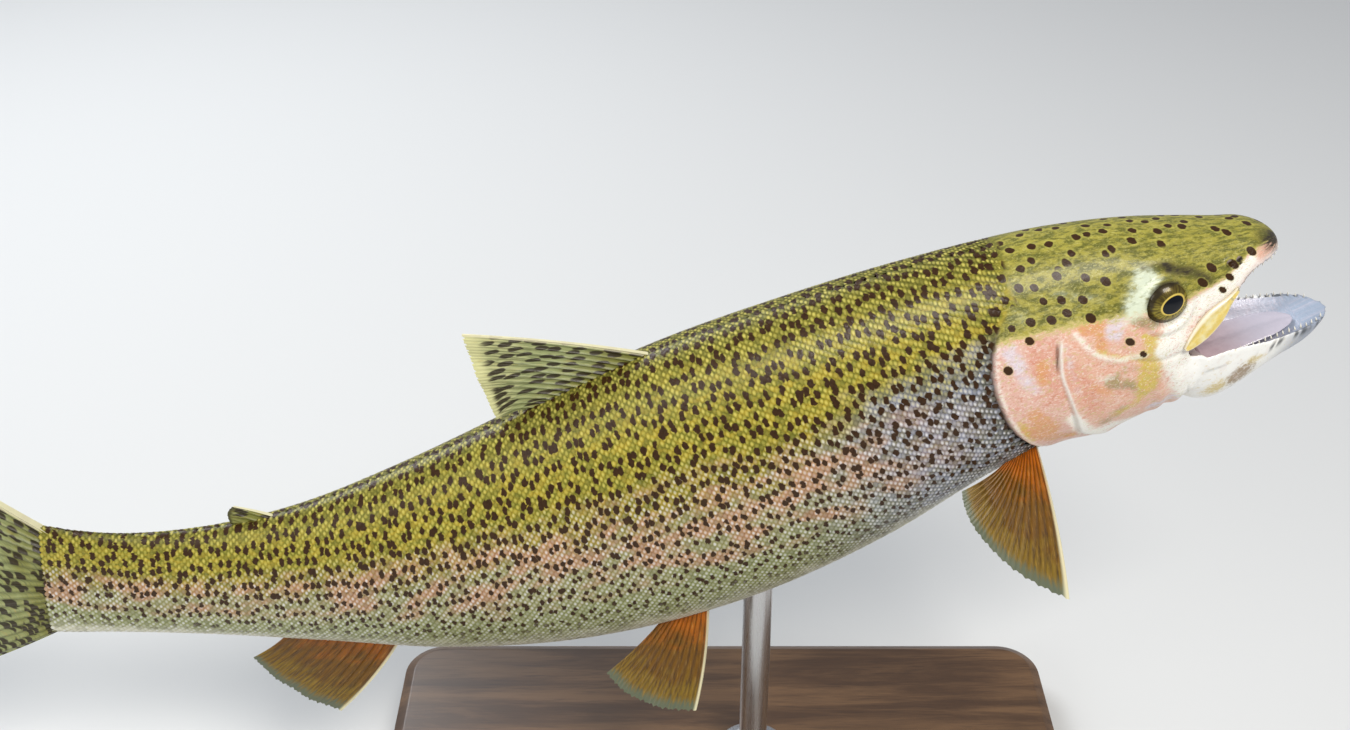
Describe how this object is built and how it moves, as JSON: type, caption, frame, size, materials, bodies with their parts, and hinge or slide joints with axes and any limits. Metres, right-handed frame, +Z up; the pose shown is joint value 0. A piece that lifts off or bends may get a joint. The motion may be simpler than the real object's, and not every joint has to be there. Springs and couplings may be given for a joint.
{
  "type": "rainbow trout model",
  "caption": "Life-size still model of a rainbow trout with open mouth and raised head, held by one rod on a flat display stand.",
  "frame": {"origin": "on the floor, under the middle of the whole model's box", "axes": "+X towards the fish's head, +Y towards its left flank, +Z up"},
  "size_m": [0.5831, 0.14, 0.2762],
  "materials": {
    "skin_olive": "wet scaled skin, olive with black spots",
    "jaw_cream": "wet cream skin with a brown patch",
    "mouth_pink": "moist lilac-pink",
    "gill_pink": "wet coral-pink skin",
    "maxilla_cream": "wet yellow-cream skin",
    "eye_gold": "clear glossy eye, olive-gold iris",
    "fin_pale": "thin wet membrane with dark spots",
    "fin_amber": "thin wet amber membrane",
    "base_wood": "dark satin wood",
    "rod_steel": "brushed"
  },
  "bodies": {
    "root": {"head": "skin_olive", "lower_jaw": "jaw_cream", "tongue": "mouth_pink", "gill_cover_right": "gill_pink", "gill_cover_left": "gill_pink", "maxilla_right": "maxilla_cream", "maxilla_left": "maxilla_cream", "eye_right": "eye_gold", "eye_left": "eye_gold", "trunk_front": "skin_olive", "trunk_rear": "skin_olive", "tail_stalk": "skin_olive", "dorsal_fin": "fin_pale", "adipose_fin": "skin_olive", "caudal_fin": "fin_pale", "anal_fin": "fin_amber", "pectoral_fin_right": "fin_amber", "pectoral_fin_left": "fin_amber", "pelvic_fin_right": "fin_amber", "pelvic_fin_left": "fin_amber", "stand_base": "base_wood", "stand_rod": "rod_steel"}
  },
  "joints": []
}
